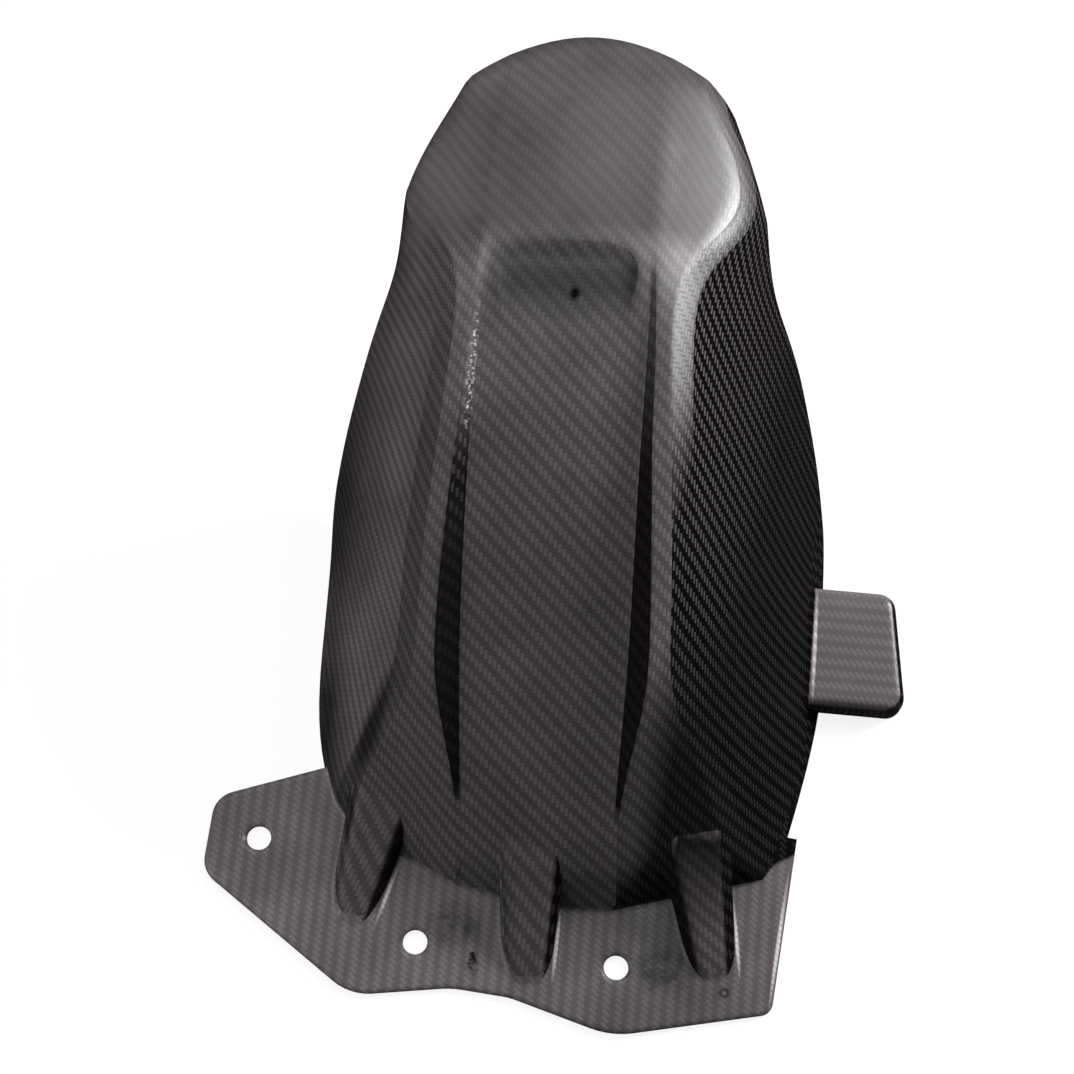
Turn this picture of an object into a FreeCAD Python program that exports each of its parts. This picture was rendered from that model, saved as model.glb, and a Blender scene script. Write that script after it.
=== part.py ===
import FreeCAD, Part
import math
import os
import Sketcher
from FreeCAD import Placement, Rotation, Vector

# Rear mudguard of a motorcycle, moulded as one thin carbon laminate.
# X is across the machine, Y points to the rear and Z is up. The underside of the bolting flange lies on
# Z = 0 with the middle bolt hole at the origin. The arched body stands on the flange, rolled a little to
# one side, and follows a circle around the wheel's axle.

DIMENSIONS = {
    "wall": 2.0,
    "crest_radius": 352.0,
    "crown_cap": 150.0,
    "crown_body": 240.0,
    "panel_radius": 600.0,
    "flank_lead": 1.5,
    "flank_share": 0.7,
    "wall_depth": 135.0,
    "wall_radius": 400.0,
    "ridge_ease": 6.0,
    "arch_middle": -6.6,
    "arch_span": 10.0,
    "arch_depth": 4.2,
    "arch_shift": 14.0,
    "arch_half": 39.0,
    "arch_corner": 20.0,
    "arch_cove": 14.0,
    "wheel_x": 52.0,
    "axle_y": 291.0,
    "axle_drop": 224.0,
    "body_roll": 5.0,
    "tail_radius": 85.0,
    "tail_right_x": 67.5,
    "tail_right_y": 75.5,
    "tail_right_flare": 0.36,
    "tail_left_x": -70.0,
    "tail_left_y": 66.0,
    "tail_left_flare": 0.285,
    "tail_corner": 18.0,
    "skirt_front_y": 199.0,
    "skirt_rear_y": 315.0,
    "skirt_rear_z": 92.0,
    "skirt_end_z": 124.0,
    "skirt_round": 40.0,
    "hole_diameter": 11.0,
    "left_hole_x": -75.0,
    "left_hole_y": 40.0,
    "right_hole_x": 90.0,
    "right_hole_y": -3.0,
    "rib_run": 75.0,
    "rib_root_half": 16.5,
    "rib_toe_half": 10.0,
    "rib_round": 7.5,
    "tab_left": 150.0,
    "tab_right": 212.0,
    "tab_front": 122.0,
    "tab_rear": 179.0,
    "tab_lean": 8.0,
    "tab_height": 12.0,
    "tab_corner": 8.0,
    "tab_edge": 5.0,
    "left_rib_x": -31.0,
    "left_rib_y": 3.0,
    "left_rib_lean": -10.0,
    "left_rib_rise": 24.0,
    "middle_rib_x": 51.5,
    "middle_rib_y": -16.0,
    "middle_rib_lean": 3.5,
    "middle_rib_rise": 30.0,
    "right_rib_x": 134.8,
    "right_rib_y": -6.0,
    "right_rib_lean": 13.7,
    "right_rib_rise": 33.0,
    "keep_reach": 220.0,
    "ear_root_x": -30.0,
    "ear_root_y": 82.0,
    "ear_rear_x": -97.0,
    "ear_rear_y": 57.0,
    "ear_rear_round": 12.0,
    "ear_front_x": -98.5,
    "ear_front_y": 23.0,
    "ear_front_round": 12.0,
    "front_left_x": -26.3,
    "front_left_y": -25.9,
    "front_left_round": 25.0,
    "scoop_left_x": 18.0,
    "scoop_left_y": -18.6,
    "scoop_left_round": 40.0,
    "scoop_right_x": 44.0,
    "scoop_right_y": -20.4,
    "scoop_right_round": 30.0,
    "front_right_x": 90.4,
    "front_right_y": -33.0,
    "front_right_round": 40.0,
    "end_front_x": 160.0,
    "end_front_y": -17.0,
    "end_front_round": 6.0,
    "end_rear_x": 166.5,
    "end_rear_y": 62.0,
}

# Corners of the bolting flange, round from the root of its left ear, and those that are rounded.
FLANGE_CORNERS = (
    "ear_root", "ear_rear", "ear_front", "front_left", "scoop_left", "scoop_right", "front_right",
    "end_front", "end_rear",
)
FLANGE_ROUNDED = FLANGE_CORNERS[1:-1]

# Centres of the three bolt holes.
HOLES = (("dims.left_hole_x", "dims.left_hole_y"), ("0", "0"), ("dims.right_hole_x", "dims.right_hole_y"))

# Stations of the body, from behind the tail to below the flange: angle from the crest, half width of the
# sunk panel, half width of the ridge, what the right ridge adds to it, depth of the panel, height of the
# rail and draft of the side wall.
STATION_SIZES = ("angle", "panel", "ridge", "spread", "sink", "rail", "draft")
STATIONS = [
    (22.0, 34.0, 56.0, 0.0, 0.0, 0.0, 18.0),
    (16.0, 35.0, 63.0, 0.0, 0.0, 0.0, 18.0),
    (10.0, 36.0, 70.0, 0.0, 0.0, 0.0, 15.0),
    (4.0, 36.5, 76.0, 0.0, 0.0, 0.0, 13.0),
    (-2.0, 36.5, 57.0, 0.0, 1.2, 0.8, 26.0),
    (-8.0, 37.0, 53.5, 0.0, 4.6, 3.3, 28.5),
    (-14.0, 37.0, 56.0, 0.0, 5.5, 5.0, 27.5),
    (-20.0, 37.0, 58.5, 0.0, 6.5, 8.0, 26.5),
    (-26.0, 37.0, 60.5, 0.0, 7.5, 10.5, 26.5),
    (-32.0, 36.5, 63.0, 0.0, 7.0, 11.0, 28.5),
    (-38.0, 35.0, 77.0, -2.0, 3.5, 4.5, 28.5),
    (-44.0, 34.0, 90.0, -3.0, 0.5, 0.3, 29.0),
    (-50.0, 34.0, 95.0, 19.0, 0.0, 0.0, 28.0),
    (-56.0, 34.0, 97.0, 22.0, 0.0, 0.0, 27.0),
]

doc = FreeCAD.newDocument("rear_mudguard")
sheet = doc.addObject("Spreadsheet::Sheet", "dims")
cells = dict(DIMENSIONS)
for number, station in enumerate(STATIONS):
    for size, value in zip(STATION_SIZES, station):
        cells[f"{size}_{number}"] = value
for row, (name, value) in enumerate(cells.items(), start=1):
    sheet.set(f"A{row}", name)
    sheet.set(f"B{row}", str(value))
    sheet.setAlias(f"B{row}", name)
doc.recompute()


def value_of(text):
    """Value of an expression over the sheet's cells, in millimetres or degrees."""
    result = sheet.evalExpression(text.replace("dims.", ""))
    return float(getattr(result, "Value", result))


def new_sketch(body, name, role):
    sketch = body.newObject("Sketcher::SketchObject", name)
    support = [feature for feature in body.Origin.OriginFeatures if feature.Role == role]
    sketch.AttachmentSupport = (support[0], "")
    sketch.MapMode = "FlatFace"
    return sketch


def draw(sketch, corners, radii=None):
    """Closed outline through corners given as pairs of expressions. radii maps a side's number to the
    radius of its arc, which turns left."""
    radii = radii or {}
    points = [Vector(value_of(x), value_of(y), 0) for x, y in corners]
    for side, start in enumerate(points):
        end = points[(side + 1) % len(points)]
        if side in radii:
            radius = value_of(radii[side])
            chord = end - start
            rise = math.sqrt(radius ** 2 - (chord.Length / 2) ** 2)
            centre = (start + end) / 2 + Vector(-chord.y, chord.x, 0).normalize() * rise
            first = math.atan2(start.y - centre.y, start.x - centre.x)
            last = math.atan2(end.y - centre.y, end.x - centre.x)
            circle = Part.Circle(centre, Vector(0, 0, 1), radius)
            sketch.addGeometry(Part.ArcOfCircle(circle, first, last))
        else:
            sketch.addGeometry(Part.LineSegment(start, end))
    for side in range(len(points)):
        after = (side + 1) % len(points)
        sketch.addConstraint(Sketcher.Constraint("Coincident", side, 2, after, 1))
    for side, (x, y) in enumerate(corners):
        for kind, text, now in (("DistanceX", x, points[side].x), ("DistanceY", y, points[side].y)):
            held = sketch.addConstraint(Sketcher.Constraint(kind, -1, 1, side, 1, now))
            sketch.setExpression(f"Constraints[{held}]", text)
    for side, text in radii.items():
        held = sketch.addConstraint(Sketcher.Constraint("Radius", side, value_of(text)))
        sketch.setExpression(f"Constraints[{held}]", text)
    return sketch


def pad(body, sketch, length, both_ways=False):
    feature = body.newObject("PartDesign::Pad", body.Name + "_pad")
    feature.Profile = sketch
    feature.SideType = "Symmetric" if both_ways else "One side"
    feature.setExpression("Length", length)
    return feature


def round_edges(body, radius, wanted):
    """Fillet on those edges of the body's tip that wanted picks."""
    doc.recompute()
    base = body.Tip
    names = [f"Edge{i}" for i, edge in enumerate(base.Shape.Edges, start=1) if wanted(edge)]
    feature = body.newObject("PartDesign::Fillet", body.Name + "_round")
    feature.Base = (base, names)
    feature.setExpression("Radius", radius)
    doc.recompute()
    return feature


def on_axle(body):
    """Put a body drawn around the wheel's axle in its place above the flange."""
    body.Placement = Placement(Vector(), Rotation(Vector(0, 1, 0), -1))
    body.setExpression("Placement.Rotation.Angle", "-dims.body_roll")
    body.setExpression("Placement.Base.x", "dims.wheel_x + dims.axle_drop * sin(dims.body_roll * 1deg)")
    body.setExpression("Placement.Base.y", "dims.axle_y")
    body.setExpression("Placement.Base.z", "-dims.axle_drop * cos(dims.body_roll * 1deg)")


def station_corners(k, skin, ridge):
    """Right half of a station's section, from the foot of the wall to the panel, one skin inside the
    moulded surface and with the ridge that far out. The shares of the skin keep the laminate even round
    the corners."""
    crown = "dims.crown_cap" if STATIONS[k][0] >= 0 else "dims.crown_body"
    rail_x = f"dims.panel_{k} + dims.flank_lead + dims.flank_share * dims.rail_{k}"
    panel_r = f"dims.crest_radius - dims.panel_{k} ^ 2 / (2 * {crown}) - dims.sink_{k}"
    rail_r = f"dims.crest_radius - ({rail_x}) ^ 2 / (2 * {crown}) - dims.sink_{k} + dims.rail_{k}"
    over = f"0.6 * (dims.rail_{k} - dims.sink_{k})"
    ridge_r = f"dims.crest_radius - ({ridge}) ^ 2 / (2 * {crown}) + {over}"
    slope = f"tan(dims.draft_{k} * 1deg)"
    ease = "dims.ridge_ease"
    foot_x = f"{ridge} + dims.wall_depth * {slope}"
    foot_r = f"{ridge_r} - dims.wall_depth"
    return [
        (f"{foot_x} - {skin} * 1.12 + 2.5 * {skin} * {slope}", f"{foot_r} - 2.5 * {skin}"),
        (f"{ridge} + {ease} * {slope} - 0.85 * {skin}", f"{ridge_r} - {ease} - 0.57 * {skin}"),
        (f"{ridge} - {ease} - 0.5 * {skin}", f"{ridge_r} + 0.3 * {ease} - 0.9 * {skin}"),
        (f"{rail_x} + 0.3 * {skin}", f"{rail_r} - 1.05 * {skin}"),
        (f"dims.panel_{k} + 0.3 * {skin}", f"{panel_r} - {skin}"),
    ]


def body_form(name, skin):
    """Arched body as a solid, lofted through the stations around the axle."""
    body = doc.addObject("PartDesign::Body", name)
    sketches = []
    for k in range(len(STATIONS)):
        right = station_corners(k, skin, f"dims.ridge_{k} + dims.spread_{k}")
        left = [(f"-({x})", y) for x, y in reversed(station_corners(k, skin, f"dims.ridge_{k}"))]
        sketch = new_sketch(body, f"{name}_station_{k}", "XZ_Plane")
        sketch.AttachmentOffset = Placement(Vector(), Rotation(Vector(1, 0, 0), 1))
        sketch.setExpression("AttachmentOffset.Rotation.Angle", f"-dims.angle_{k}")
        side_radius = f"dims.wall_radius - {skin}"
        crown = "dims.crown_cap" if STATIONS[k][0] >= 0 else "dims.crown_body"
        flat = "dims.panel_radius" if STATIONS[k][4] > 0 else crown
        draw(sketch, right + left, {0: side_radius, 4: f"{flat} - {skin}", 8: side_radius})
        sketches.append(sketch)
    doc.recompute()
    skin_loft = body.newObject("PartDesign::AdditiveLoft", name + "_loft")
    skin_loft.Profile = sketches[0]
    skin_loft.Sections = sketches[1:]
    doc.recompute()
    on_axle(body)
    doc.recompute()
    return body


def arch_plug(name, skin):
    """Plug turned about the axle, whose rounded end leaves the step between the cap and the panel."""
    body = doc.addObject("PartDesign::Body", name)
    sketch = new_sketch(body, name + "_outline", "XZ_Plane")
    sketch.AttachmentOffset = Placement(Vector(), Rotation(Vector(1, 0, 0), 1))
    sketch.setExpression("AttachmentOffset.Rotation.Angle", "-dims.arch_middle")
    half = f"dims.arch_half + {skin}"
    floor = f"dims.crest_radius - dims.arch_depth - {skin}"
    top = "dims.crest_radius + dims.arch_cove"
    draw(sketch, [(f"-({half})", floor), (half, floor), (half, top), (f"-({half})", top)])
    turned = body.newObject("PartDesign::Revolution", name + "_turned")
    turned.Profile = sketch
    turned.ReferenceAxis = (sketch, ["H_Axis"])
    turned.Midplane = True
    turned.setExpression("Angle", f"dims.arch_span + 2 * {skin} / dims.crest_radius * 180 / pi")
    doc.recompute()
    floor_now = value_of(floor)
    front = value_of("dims.arch_middle - dims.arch_span / 2")

    def behind(edge):
        return math.degrees(math.atan2(edge.CenterOfMass.y, edge.CenterOfMass.z)) > front + 1

    def height(edge):
        return math.hypot(edge.CenterOfMass.y, edge.CenterOfMass.z) - floor_now

    def upright(edge):
        return edge.Curve.TypeId == "Part::GeomLine" and abs(edge.CenterOfMass.x) > 1 and height(edge) > 1

    round_edges(body, f"dims.arch_corner + {skin}", lambda edge: behind(edge) and upright(edge))
    round_edges(body, f"dims.arch_cove + {skin}", lambda edge: behind(edge) and height(edge) < 1)
    on_axle(body)
    body.setExpression("Placement.Base.y", "dims.axle_y + dims.arch_shift")
    doc.recompute()
    return body


def rib_form(name, toe_x, toe_y, lean, rise, skin):
    """Buttress rib as a solid that widens and climbs from its toe on the flange up into the body."""
    body = doc.addObject("PartDesign::Body", name)
    wedge = body.newObject("PartDesign::AdditiveWedge", name + "_wedge")
    low = "-2 * dims.rib_round"
    toe = f"dims.rib_toe_half - {skin}"
    root = f"dims.rib_root_half - {skin}"
    for size, text in (
        ("Xmin", f"-({toe})"), ("Xmax", toe), ("X2min", f"-({root})"), ("X2max", root),
        ("Ymin", "0"), ("Ymax", "dims.rib_run"), ("Zmin", low), ("Z2min", low),
        ("Zmax", f"0.6 * dims.wall - {skin}"), ("Z2max", f"{rise} - {skin}"),
    ):
        wedge.setExpression(size, text)
    round_edges(body, f"dims.rib_round - {skin}", lambda edge: edge.BoundBox.YLength > 1
                and edge.BoundBox.ZLength > 1)
    body.Placement = Placement(Vector(), Rotation(Vector(0, 0, 1), 1))
    body.setExpression("Placement.Base.x", toe_x)
    body.setExpression("Placement.Base.y", toe_y)
    body.setExpression("Placement.Rotation.Angle", lean)
    doc.recompute()
    return body


def tab_form(name, skin):
    """Side tab as a solid with rounded corners and top edge, from inside the right wall outward."""
    body = doc.addObject("PartDesign::Body", name)
    sketch = new_sketch(body, name + "_outline", "XY_Plane")
    foot = f"-2.5 * {skin}"
    sketch.setExpression("AttachmentOffset.Base.z", foot)
    draw(sketch, [
        ("dims.tab_left", f"dims.tab_front + {skin}"),
        (f"dims.tab_right - {skin}", f"dims.tab_front + {skin}"),
        (f"dims.tab_right - dims.tab_lean - {skin}", f"dims.tab_rear - {skin}"),
        ("dims.tab_left", f"dims.tab_rear - {skin}"),
    ])
    pad(body, sketch, f"dims.tab_height - {skin} - ({foot})")
    root = value_of("dims.tab_left") + 1
    top = value_of(f"dims.tab_height - {skin}") - 0.01
    round_edges(body, f"dims.tab_corner - {skin}", lambda edge: edge.BoundBox.XMin > root
                and edge.BoundBox.ZLength > 1)
    round_edges(body, f"dims.tab_edge - {skin}", lambda edge: edge.BoundBox.XMax > root
                and edge.BoundBox.ZMin > top)
    return body


def flange_form():
    """Bolting flange: a flat plate with an ear on the left and a hollowed front edge."""
    body = doc.addObject("PartDesign::Body", "flange")
    sketch = new_sketch(body, "flange_outline", "XY_Plane")
    draw(sketch, [(f"dims.{name}_x", f"dims.{name}_y") for name in FLANGE_CORNERS])
    pad(body, sketch, "dims.wall")
    for name in FLANGE_ROUNDED:
        x, y = value_of(f"dims.{name}_x"), value_of(f"dims.{name}_y")
        here = Vector(x, y, value_of("dims.wall") / 2)
        round_edges(body, f"dims.{name}_round", lambda edge: edge.CenterOfMass.isEqual(here, 0.01))
    holes = new_sketch(body, "bolt_holes", "XY_Plane")
    radius = "dims.hole_diameter / 2"
    for number, place in enumerate(HOLES):
        centre = Vector(*(value_of(text) for text in place), 0)
        holes.addGeometry(Part.Circle(centre, Vector(0, 0, 1), value_of(radius)))
        held = holes.addConstraint(Sketcher.Constraint("Radius", number, value_of(radius)))
        holes.setExpression(f"Constraints[{held}]", radius)
        for kind, text in zip(("DistanceX", "DistanceY"), place):
            held = holes.addConstraint(Sketcher.Constraint(kind, -1, 1, number, 3, value_of(text)))
            holes.setExpression(f"Constraints[{held}]", text)
    drilled = body.newObject("PartDesign::Pocket", "drilled")
    drilled.Profile = holes
    drilled.SideType = "Symmetric"
    drilled.setExpression("Length", "4 * dims.wall")
    return body


def side_keep():
    """Everything above the lower edge of the skirts, seen from the side."""
    body = doc.addObject("PartDesign::Body", "skirt_line")
    sketch = new_sketch(body, "skirt_outline", "YZ_Plane")
    draw(sketch, [
        ("-dims.keep_reach", "0"),
        ("dims.skirt_front_y", "0"),
        ("dims.skirt_rear_y", "dims.skirt_rear_z"),
        ("dims.axle_y + dims.keep_reach", "dims.skirt_end_z"),
        ("dims.axle_y + dims.keep_reach", "dims.keep_reach"),
        ("-dims.keep_reach", "dims.keep_reach"),
    ])
    pad(body, sketch, "4 * dims.keep_reach", both_ways=True)
    for y, z in (("dims.skirt_front_y", "0"), ("dims.skirt_rear_y", "dims.skirt_rear_z")):
        here = Vector(0, value_of(y), value_of(z))
        round_edges(body, "dims.skirt_round", lambda edge: edge.CenterOfMass.isEqual(here, 0.01))
    return body


def tail_keep():
    """Everything in front of the rounded tail, seen from above the axle."""
    body = doc.addObject("PartDesign::Body", "tail_line")
    sketch = new_sketch(body, "tail_outline", "XY_Plane")
    far = "(dims.keep_reach + dims.crest_radius)"
    right = ("dims.tail_right_x", "dims.tail_right_y")
    left = ("dims.tail_left_x", "dims.tail_left_y")
    draw(sketch, [
        right,
        left,
        (f"{left[0]} - dims.tail_left_flare * ({far} + {left[1]})", f"-{far}"),
        (f"{right[0]} + dims.tail_right_flare * ({far} + {right[1]})", f"-{far}"),
    ], {0: "dims.tail_radius"})
    pad(body, sketch, "4 * dims.keep_reach + 4 * dims.crest_radius", both_ways=True)
    for x, y in (right, left):
        here = Vector(value_of(x), value_of(y), 0)
        round_edges(body, "dims.tail_corner", lambda edge: edge.CenterOfMass.isEqual(here, 0.01))
    on_axle(body)
    doc.recompute()
    return body


def boolean(kind, name, shapes):
    feature = doc.addObject(kind, name)
    if kind == "Part::Cut":
        feature.Base, feature.Tool = shapes
    else:
        feature.Shapes = shapes
    doc.recompute()
    return feature


SKIN = {"outer": "0", "inner": "dims.wall"}
forms = {}
for side, skin in SKIN.items():
    arched = [body_form(f"{side}_form", skin), arch_plug(f"{side}_arch_plug", skin)]
    forms[side] = [boolean("Part::Cut", f"{side}_arched", arched)]
    for rib in ("left", "middle", "right"):
        toe = [f"dims.{rib}_rib_{axis}" for axis in ("x", "y", "lean", "rise")]
        forms[side].append(rib_form(f"{side}_{rib}_rib", *toe, skin))
    forms[side].append(tab_form(f"{side}_tab", skin))

moulded = boolean("Part::MultiFuse", "moulded", forms["outer"][:-1])
trimmed = boolean("Part::MultiCommon", "trimmed", [moulded, side_keep(), tail_keep()])
solid = boolean("Part::MultiFuse", "solid", [trimmed, flange_form(), forms["outer"][-1]])
hollow = boolean("Part::MultiFuse", "hollow", forms["inner"])
shell = boolean("Part::Cut", "mudguard_shell", [solid, hollow])
shell.Label = "mudguard_shell"

for feature in doc.Objects:
    if "Invalid" in feature.State or "Error" in feature.State:
        raise RuntimeError(f"{feature.Name}: {feature.State}")
if not shell.Shape.isValid() or len(shell.Shape.Solids) != 1:
    raise RuntimeError("the shell is not one valid solid")
os.makedirs("parts", exist_ok=True)
shell.Shape.exportStep(f"parts/{shell.Label}.step")
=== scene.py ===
import math

import bpy
from mathutils import Matrix, Vector

# Carbon-fibre rear mudguard: one laminate of twill cloth under a satin clear coat, lying on a white studio
# floor. X is across the machine, Y to the rear, Z up, and the middle bolt hole of the flange is the origin.
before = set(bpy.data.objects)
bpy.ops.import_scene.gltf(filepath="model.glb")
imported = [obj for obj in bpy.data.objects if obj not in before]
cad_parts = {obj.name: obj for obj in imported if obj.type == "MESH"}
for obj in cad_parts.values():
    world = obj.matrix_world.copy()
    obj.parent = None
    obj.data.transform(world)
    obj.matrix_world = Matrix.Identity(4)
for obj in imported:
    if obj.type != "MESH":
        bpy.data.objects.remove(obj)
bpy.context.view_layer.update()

MM = 0.001
scene = bpy.context.scene
scene.view_settings.view_transform = "Standard"


def colour(code):
    """Linear colour of an sRGB hex code, with alpha 1."""
    channels = [int(code[i:i + 2], 16) / 255 for i in (0, 2, 4)]
    return [c / 12.92 if c <= 0.04045 else ((c + 0.055) / 1.055) ** 2.4 for c in channels] + [1.0]


def new_material(name):
    material = bpy.data.materials.new(name)
    material.use_nodes = True
    material.node_tree.nodes.clear()
    return material


def add(material, kind, *inputs, **settings):
    """Adds a shader node and returns its outputs. Inputs are sockets to link or values to set, in the
    node's own order. A setting named as an input, with _ for a space, sets that input."""
    tree = material.node_tree
    node = tree.nodes.new("ShaderNode" + kind)
    for name in [name for name in settings if hasattr(node, name)]:
        setattr(node, name, settings.pop(name))
    pairs = list(zip((socket for socket in node.inputs if socket.enabled), inputs))
    pairs += [(node.inputs[name.replace("_", " ")], value) for name, value in settings.items()]
    for socket, value in pairs:
        if isinstance(value, bpy.types.NodeSocket):
            tree.links.new(value, socket)
        else:
            socket.default_value = value
    return node.outputs


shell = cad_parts["mudguard_shell"]
carbon = new_material("carbon_laminate")


def work_out(operation, first, *others):
    """Result of one Math node of the laminate, or of a row of them when there are more than two values."""
    result = add(carbon, "Math", first, *others[:1], operation=operation)[0]
    for other in others[1:]:
        result = add(carbon, "Math", result, other, operation=operation)[0]
    return result


def plus(*values):
    return work_out("ADD", *values)


def less(value, taken_off):
    return work_out("SUBTRACT", value, taken_off)


def times(*values):
    return work_out("MULTIPLY", *values)


def least(*values):
    return work_out("MINIMUM", *values)


def most(*values):
    return work_out("MAXIMUM", *values)


def rest_of(share):
    return less(1.0, share)


def blend(share, first, second):
    """The first number at share 0, the second at share 1."""
    return add(carbon, "Mix", share, first, second)[0]


def blend_colour(share, first, second, **settings):
    return add(carbon, "Mix", share, first, second, data_type="RGBA", **settings)[2]


def ramp(value, start, end, low=0.0, high=1.0):
    """Straight run from low at start to high at end, level outside."""
    return add(carbon, "MapRange", value, start, end, low, high)[0]


def ramp_mm(length, start, end, low=0.0, high=1.0):
    """The same for a length, with start and end in mm."""
    return ramp(length, start * MM, end * MM, low, high)


# The laminate. The cloth is laid along and across the arched body and turned by an eighth of a circle on
# the flange and the tab. Tows pass over two and under two, so their crossings make slanting stripes, which
# lean the other way on the tab.
TOW = 2.0 * MM
TOWS_OVER = 2.0
DIAGONAL = math.sqrt(0.5)
CREST_RADIUS = 352 * MM
BODY_ROLL = math.radians(5)
BODY_MIDDLE = 52
AXLE_BACK = 291
AXLE_DEPTH = 224
AXLE = Vector((BODY_MIDDLE + AXLE_DEPTH * math.sin(BODY_ROLL), AXLE_BACK,
               -AXLE_DEPTH * math.cos(BODY_ROLL))) * MM
PANEL_HALF = 36 * MM
RIDGE_HALF = 60 * MM
WALL_STRETCH = 0.63
FLANGE_TOP = 3.2 * MM
TAB_ROOT = 165 * MM

place = add(carbon, "TexCoord")["Object"]
x, y, z = add(carbon, "SeparateXYZ", place)
round_axle = add(carbon, "Mapping", place, vector_type="TEXTURE", Location=AXLE,
                 Rotation=(0, -BODY_ROLL, 0))[0]
across, rear, high = add(carbon, "SeparateXYZ", round_axle)
arc = times(work_out("ARCTAN2", rear, high), CREST_RADIUS)
radius = work_out("SQRT", plus(work_out("POWER", rear, 2.0), work_out("POWER", high, 2.0)))
drop = times(less(CREST_RADIUS, radius), WALL_STRETCH)
side = work_out("SIGN", across)
off_middle = work_out("ABSOLUTE", across)
girth = plus(across, times(side, drop, ramp(off_middle, PANEL_HALF, RIDGE_HALF)))

on_tab = work_out("GREATER_THAN", x, TAB_ROOT)
on_flange = most(work_out("LESS_THAN", z, FLANGE_TOP), on_tab)
flat_u = times(plus(x, y), DIAGONAL)
flat_v = times(less(x, y), rest_of(times(on_tab, 2.0)), DIAGONAL)
u = work_out("DIVIDE", blend(on_flange, girth, flat_u), TOW)
v = work_out("DIVIDE", blend(on_flange, arc, flat_v), TOW)

step = work_out("FLOORED_MODULO", plus(work_out("FLOOR", u), work_out("FLOOR", v)), 2 * TOWS_OVER)
warp_over = work_out("LESS_THAN", step, TOWS_OVER)
warp_round = work_out("SINE", times(work_out("FRACT", u), math.pi))
weft_round = work_out("SINE", times(work_out("FRACT", v), math.pi))
tow_round = blend(warp_over, weft_round, warp_round)
wear = add(carbon, "TexNoise", place, Scale=38.0, Detail=3.0)[0]
grain = add(carbon, "TexNoise", place, Scale=900.0, Detail=2.0)[0]

# Marks of the moulding and of handling, and painted highlights. The dark marks are a dark spot under the
# arch, a wrinkle and a round mark on the flange and two dull patches. The pale one is a fleck beside the left
# hole; with it go painted glints along the left flank and painted highlights, thin bright lines where the
# resin fillets catch the light at the right foot of each rib, along the flange's right edge and at the root
# of the tab.


def spot(centre, sizes, turn=0.0):
    """1 in the middle of an oval spot and 0 from its rim outwards, centre and half sizes in mm, turned by
    that many degrees seen from above."""
    near = add(carbon, "Mapping", place, vector_type="TEXTURE", Location=Vector(centre) * MM,
               Rotation=(0, 0, math.radians(turn)), Scale=Vector(sizes) * MM)[0]
    return ramp(add(carbon, "VectorMath", near, operation="LENGTH")[1], 0.4, 1.0, 1.0, 0.0)


crumple = add(carbon, "TexNoise", place, Scale=260.0, Detail=2.0)[0]
arch_dark_spot = spot((45.4, 266.6, 121), (3, 4, 5))
wrinkle = times(spot((26.5, -5.6, 2), (4, 9, 3)), ramp(crumple, 0.45, 0.6))
ring_middle = (138.5, -9.7, 2)
ring = less(spot(ring_middle, (3, 3, 3)), spot(ring_middle, (1.6, 1.6, 1.6)))
patches = most(spot((17, 9, 2), (14, 13, 4)), spot((110, -3, 2), (17, 12, 4)))
dark_marks = most(arch_dark_spot, wrinkle, ring, times(patches, ramp(crumple, 0.4, 0.6, 0.3, 1.0), 0.6))

# Painted glints: bright flecks along the left flank.
glint_scatter = add(carbon, "TexNoise", place, Scale=700.0, Detail=1.0)[0]
hole_fleck = spot((-81.2, 39.3, 2), (1.4, 1.4, 1.4))
flank_glints = times(spot((4, 232, 113), (2.2, 34, 16)), ramp(glint_scatter, 0.52, 0.6))
fleck_and_highlights = most(hole_fleck, flank_glints)
# Painted highlights: thin bright lines at the right foot of each rib, along the flange's right edge and at
# the tab's root.
for middle, half_length, lean in (
    ((-14.7, 20, 2), 18, -15.0),
    ((62.7, 4, 2), 18, -1.4),
    ((142.3, 15, 2), 19, 9.0),
    ((161.2, 16, 2), 34, -4.7),
    ((168.4, 150, 12), 30, 0.8),
):
    fleck_and_highlights = most(fleck_and_highlights, spot(middle, (1.1, half_length, 5), lean))

# Painted shade: the cloth is painted dark where shade falls, on steep faces to the right and in front on the
# right, behind the flange's right end, in the flanks beside the panel and on the panel under the arch.
facing_x, facing_y = add(carbon, "SeparateXYZ", add(carbon, "NewGeometry")["Normal"])[:2]
steep_right = ramp(plus(facing_x, ramp_mm(arc, -100, -50, 0.1, 0.0)), 0.6, 0.72)
steep_left = ramp(facing_x, -0.87, -0.94)
front_right = plus(facing_x, times(facing_y, -0.75), ramp_mm(x, 92, 106, -0.04, 0.1))
behind_slant = ramp_mm(less(y, times(x, 0.6)), -46, -44)
short_of_tab = work_out("LESS_THAN", x, TAB_ROOT + 2 * MM)
behind_end = times(ramp_mm(x, 144, 147), behind_slant, short_of_tab)
painted_shade = most(steep_right, ramp(front_right, 0.58, 0.76), behind_end)
right_flank = ramp_mm(arc, -100, -50, 1.0, 0.45)
left_flank = ramp_mm(arc, -140, -80, 1.0, 0.3)
flank_depth = blend(work_out("LESS_THAN", across, 0.0), right_flank, left_flank)
in_flank = times(ramp(times(facing_x, side), -0.2, -0.45), flank_depth)
arch_shade = least(ramp_mm(arc, -42, -22, 0.0, 0.62), ramp_mm(arc, -14, 0, 0.62, 0.1))
under_arch = times(arch_shade, ramp_mm(off_middle, 28, 35, 1.0, 0.0))
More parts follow.
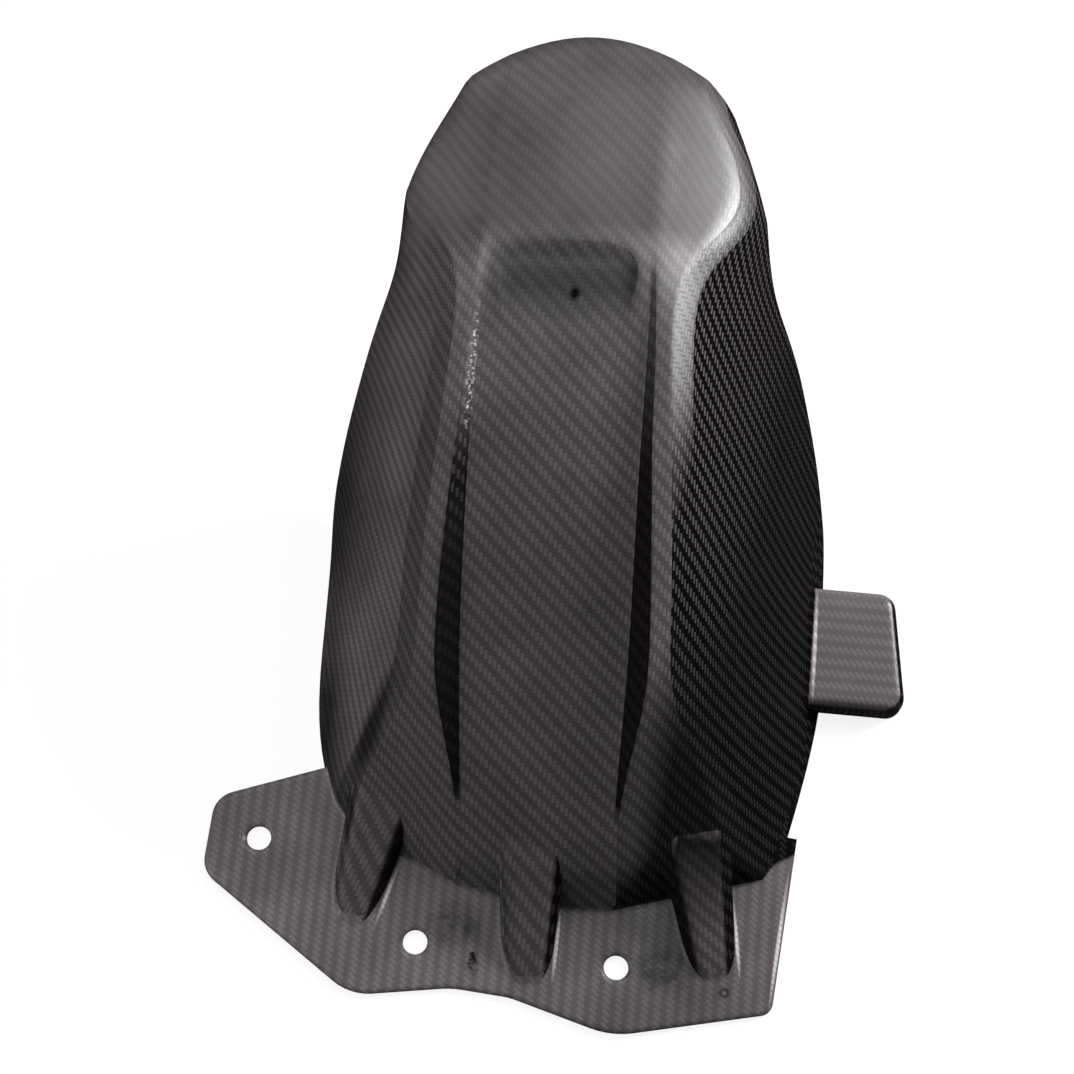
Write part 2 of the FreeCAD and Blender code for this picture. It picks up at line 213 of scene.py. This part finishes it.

# How bright the cloth is, in painted light and shade: most on the flange and the tab, which face the light,
# less on the cap and still less on the panel, which turns away from it. The cap and the flange are painted
# lighter towards the left, the step under the arch has a painted highlight, the middle rib is painted darker
# and the right rib darker towards its top, and the left wall has a painted highlight band between painted
# darker ones.
PANEL_LEVEL = 0.46
LEFT_RIM_LEVEL = 0.16
FLANK_LEVEL = 0.05
on_cap = ramp_mm(arc, -4, 8)
near_cap = ramp_mm(arc, -90, -10)
cap_light_level = ramp_mm(across, -50, 0, 0.6, 0.36)
body_level = blend(on_cap, times(rest_of(under_arch), PANEL_LEVEL), cap_light_level)
# Painted highlight on the step under the cap's arch.
arch_step_highlight = times(ramp(facing_y, -0.25, -0.55, 0.0, 0.3), ramp_mm(arc, -14, -8))
body_level = times(body_level, plus(arch_step_highlight, 1.0))
# Painted shade on the ribs: the middle one darker, the right one darker towards its top.
right_rib = ramp_mm(x, 108, 112)
on_ribs = ramp_mm(less(y, times(right_rib, 20 * MM)), 32, 38, 1.0, 0.0)
rib_shade_level = blend(right_rib, ramp_mm(x, 10, 60, 1.0, 0.7), ramp_mm(y, 12, 50, 0.98, 0.12))
body_level = times(body_level, blend(on_ribs, 1.0, rib_shade_level))
# A painted highlight band on the left wall and painted shade on the left bevel, both away from the cap.
left_wall_highlight = ramp(facing_x, -0.74, -0.86, 0.0, ramp_mm(arc, -220, -160, 0.8, 0.42))
left_bevel_shade = ramp(facing_x, -0.45, -0.68, 0.0, 0.3)
left_light_and_shade = times(less(left_wall_highlight, left_bevel_shade), rest_of(near_cap))
body_level = times(body_level, plus(left_light_and_shade, 1.0))
flange_light_level = plus(ramp_mm(x, -60, 110, 0.76, 0.38), ramp_mm(x, 125, 160, 0.0, 0.1))
level = blend(on_flange, body_level, flange_light_level)
# Painted shade on the steepest left faces, along the left wall's foot, in the valley before the left rib and
# on that rib's left side.
level = blend(steep_left, level, LEFT_RIM_LEVEL)
left_rim_shade = ramp_mm(across, -86, -100, 0.0, ramp_mm(arc, -230, -180, 0.8, 0.2))
left_valley_shade = most(spot((-27, 88, 37), (6, 34, 45), -19.5), spot((-34, 52, 14), (6, 18, 16)))
left_shade = times(most(left_rim_shade, times(left_valley_shade, 0.65)), ramp(facing_x, -0.4, -0.6))
level = times(level, rest_of(left_shade))
# Painted shade: nearly black, a little less on faces turned to the front; the flanks are painted dark too.
level = blend(painted_shade, level, ramp(facing_y, -0.3, -0.6, 0.02, 0.07))
level = blend(in_flank, level, FLANK_LEVEL)
level = times(level, ramp(wear, 0.3, 0.7, 0.86, 1.12), rest_of(times(dark_marks, 0.9)))
# The pale fleck, the painted glints and the painted highlights lighten the cloth.
level = plus(level, times(fleck_and_highlights, 1.8))

# The colours of the cloth. The twill pattern is the cloth's own; its lighter warp and darker weft are a
# painted sheen for how the tows reflect. The weave is veiled on the cap and the flange, standing in for a
# sheen that washes it out, and in the painted shade painted glints light only the backs of the tows.
LIGHT_TOW = colour("726d6e")
DARK_TOW = colour("514c4d")
RESIN = colour("3f3b3c")
woven = blend_colour(warp_over, DARK_TOW, LIGHT_TOW)
woven = blend_colour(ramp(tow_round, 0.0, 0.5), RESIN, woven)
plain = blend_colour(0.5, DARK_TOW, LIGHT_TOW)
sheen_veil = most(ramp(on_cap, 0.0, 1.0, 0.25, 0.7), times(on_flange, 0.45))
cloth = blend_colour(sheen_veil, woven, plain)
tow_back = times(work_out("POWER", tow_round, 3.0), warp_over)
glint = times(painted_shade, rest_of(in_flank), tow_back, ramp_mm(z, 60, 115, 0.05, 0.32))
shade = blend_colour(1.0, cloth, plus(level, glint), blend_type="MULTIPLY")

# The clear coat: satin, smoother on the flange, with the relief of the tows and soft moulded edges. It shines
# on what faces up, most towards the cap's right edge and along the right ridge, and not where shade is
# painted or on the dark marks.
satin = ramp(plus(wear, times(grain, 0.4)), 0.4, 1.0, 0.32, 0.4)
roughness = less(satin, times(on_flange, 0.1))
rounded = add(carbon, "Bevel", ramp_mm(arc, -20, 25, 3.5 * MM, 14 * MM), samples=6)[0]
upward = ramp(add(carbon, "SeparateXYZ", rounded)[2], 0.73, 0.92, 0.0, 0.5)
flat_shine = less(times(on_flange, 0.7), times(on_tab, 0.4))
shine = most(ramp(near_cap, 0.0, 1.0, 0.12, 1.0), flat_shine)
to_edge = plus(ramp_mm(across, 10, 34, 0.32, 0.16), ramp_mm(across, 34, 64, 0.0, 1.25))
on_ridge = least(ramp_mm(across, 40, 47, 1.0, 1.9), ramp_mm(across, 50, 57, 1.9, 1.0))
left_calm = ramp(facing_x, -0.55, -0.3, 0.15, 1.0)
dull_places = most(in_flank, behind_end, dark_marks, steep_right)
calm = times(left_calm, rest_of(under_arch), rest_of(dull_places))
gloss = times(upward, shine, blend(on_cap, on_ridge, to_edge), calm)
relief = plus(tow_round, times(grain, 0.3))
bumped = add(carbon, "Bump", Strength=0.2, Distance=0.1 * MM, Height=relief, Normal=rounded)[0]
coat = add(carbon, "BsdfPrincipled", Base_Color=shade, Roughness=roughness, Normal=bumped,
           Specular_IOR_Level=gloss)[0]
add(carbon, "OutputMaterial", coat)
shell.data.materials.clear()
shell.data.materials.append(carbon)

# The studio: a pale floor that shows white and keeps a faint shadow, one large soft lamp above the tail and
# two low ones that catch the ridges.
FLOOR_REACH = 4.0
FLOOR_HEIGHT = -0.5 * MM
FLOOR_GLOW = 0.85
WORLD_STRENGTH = 0.08
corners = [(FLOOR_REACH * right, FLOOR_REACH * back, FLOOR_HEIGHT)
           for right, back in ((-1, -1), (1, -1), (1, 1), (-1, 1))]
floor_mesh = bpy.data.meshes.new("floor")
floor_mesh.from_pydata(corners, [], [(0, 1, 2, 3)])
floor = bpy.data.objects.new("floor", floor_mesh)
scene.collection.objects.link(floor)
paper = new_material("floor_paper")
ray = add(paper, "LightPath")
seen = add(paper, "Math", ray["Is Camera Ray"], ray["Is Glossy Ray"], operation="MAXIMUM")[0]
seen = add(paper, "Math", seen, ray["Is Transmission Ray"], operation="MAXIMUM")[0]
sheet = add(paper, "BsdfDiffuse", colour("f4f4f4"))[0]
white = add(paper, "Emission", colour("ffffff"), 1.0)[0]
glow = add(paper, "Math", seen, FLOOR_GLOW, operation="MULTIPLY")[0]
add(paper, "OutputMaterial", add(paper, "MixShader", glow, sheet, white)[0])
floor_mesh.materials.append(paper)

world = bpy.data.worlds.new("studio")
world.use_nodes = True
world.node_tree.nodes["Background"].inputs["Color"].default_value = colour("ffffff")
world.node_tree.nodes["Background"].inputs["Strength"].default_value = WORLD_STRENGTH
scene.world = world

LOOK_AT = Vector((40, 150, 50)) * MM
for name, direction, distance, size, power in (
    ("key_lamp", Vector((0.12, 0.57, 0.8)), 2.0, 1.6, 32.0),
    ("right_lamp", Vector((0.8, 0.51, 0.34)), 1.5, 0.55, 68.0),
    ("left_lamp", Vector((-0.7, -0.15, 0.6)), 1.5, 1.0, 15.0),
):
    lamp = bpy.data.lights.new(name, "AREA")
    lamp.size = size
    lamp.energy = power
    holder = bpy.data.objects.new(name, lamp)
    holder.location = LOOK_AT + direction.normalized() * distance
    holder.rotation_euler = (-direction).to_track_quat("-Z", "Y").to_euler()
    scene.collection.objects.link(holder)

# The camera stands in front of the flange and looks steeply down on it, with the part's rear at the top.
EYE = Vector((61.9, -165.5, 1113.7)) * MM
RIGHT = Vector((0.9957, 0.0922, 0.0071))
UP = Vector((-0.0899, 0.9471, 0.3080))
SENSOR_WIDTH = 36.0
FOCAL_PIXELS = 2495
FRAME_PIXELS = 1074
camera = bpy.data.cameras.new("camera")
camera.sensor_width = SENSOR_WIDTH
camera.lens = SENSOR_WIDTH * FOCAL_PIXELS / FRAME_PIXELS
viewer = bpy.data.objects.new("camera", camera)
viewer.matrix_world = Matrix.Translation(EYE) @ Matrix((RIGHT, UP, RIGHT.cross(UP))).transposed().to_4x4()
scene.collection.objects.link(viewer)
scene.camera = viewer
